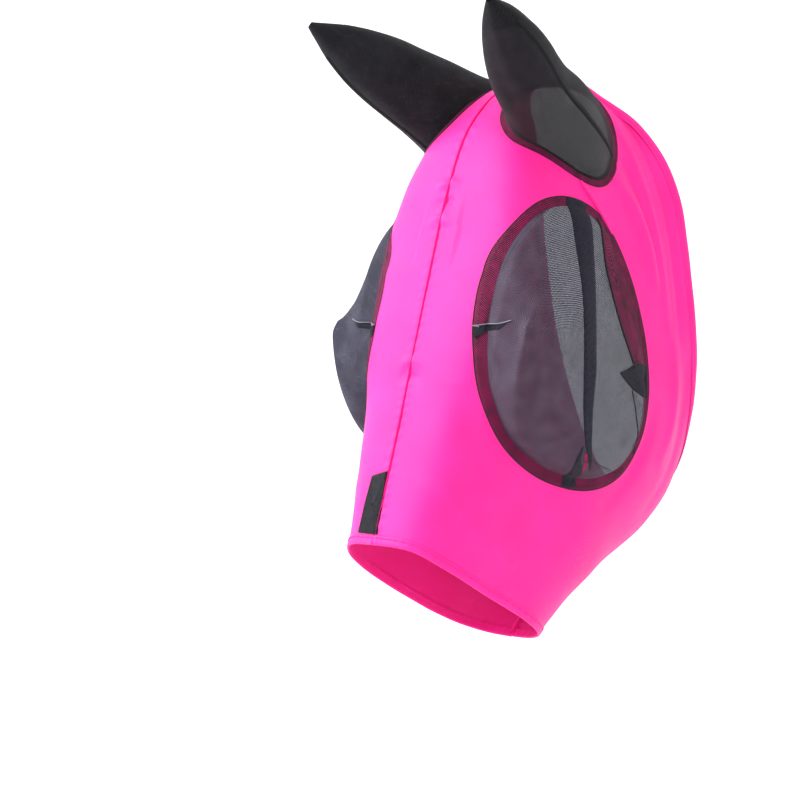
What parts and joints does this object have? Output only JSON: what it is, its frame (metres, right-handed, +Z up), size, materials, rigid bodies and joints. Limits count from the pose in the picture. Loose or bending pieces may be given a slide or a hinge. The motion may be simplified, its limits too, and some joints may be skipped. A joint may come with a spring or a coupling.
{
  "type": "horse fly mask",
  "caption": "Pull-on stretch fly mask for a horse, worn shape, with bulging see-through mesh eye cups, mesh ear covers, a middle face seam and a hemmed nose.",
  "frame": {"origin": "on the middle line at the poll, under the rear hem behind the ears", "axes": "+Z up, the horse faces -Y, +X is the horse's left side"},
  "size_m": [0.2626, 0.3165, 0.5537],
  "materials": {
    "face_cloth": "satin stretch knit",
    "seam_cloth": "satin stretch knit",
    "hem_cloth": "satin stretch knit, stitched",
    "eye_binding": "pink cloth under black mesh",
    "mesh": "open black mesh",
    "tape": "folded black mesh, stitched",
    "patch": "matt woven tab"
  },
  "bodies": {
    "hood": {"face_seam": "seam_cloth", "jaw_seam": "seam_cloth", "nose_hem": "hem_cloth", "neck_hem": "hem_cloth", "throat_hem": "hem_cloth", "nose_patch": "patch", "face_panel_left": "face_cloth", "face_panel_right": "face_cloth", "eye_binding_left": "eye_binding", "eye_binding_right": "eye_binding", "eye_mesh_front_left": "mesh", "eye_mesh_front_right": "mesh", "eye_mesh_rear_left": "mesh", "eye_mesh_rear_right": "mesh", "eye_tape_left": "tape", "eye_tape_right": "tape", "front_dart_left": "tape", "front_dart_right": "tape", "rear_tuck_left": "mesh", "rear_tuck_right": "mesh", "rolled_seam_left": "seam_cloth", "rolled_seam_right": "seam_cloth", "ear_binding_left": "eye_binding", "ear_binding_right": "eye_binding", "ear_root_left": "mesh", "ear_root_right": "mesh"},
    "ear_left": {"ear_front_left": "mesh", "ear_back_left": "mesh", "ear_seam_a_left": "tape", "ear_seam_b_left": "tape", "ear_tip_left": "tape"},
    "ear_right": {"ear_front_right": "mesh", "ear_back_right": "mesh", "ear_seam_a_right": "tape", "ear_seam_b_right": "tape", "ear_tip_right": "tape"}
  },
  "joints": [
    {"name": "ear_left_tilt", "type": "hinge", "parent": "hood", "child": "ear_left", "pos_m": [0.058, -0.035, -0.05], "axis": [-1, 0, 0], "range_deg": [-6, 32], "stiffness_Nm_per_rad": 0.4},
    {"name": "ear_right_tilt", "type": "hinge", "parent": "hood", "child": "ear_right", "pos_m": [-0.058, -0.035, -0.05], "axis": [-1, 0, 0], "range_deg": [-6, 32], "stiffness_Nm_per_rad": 0.4}
  ]
}
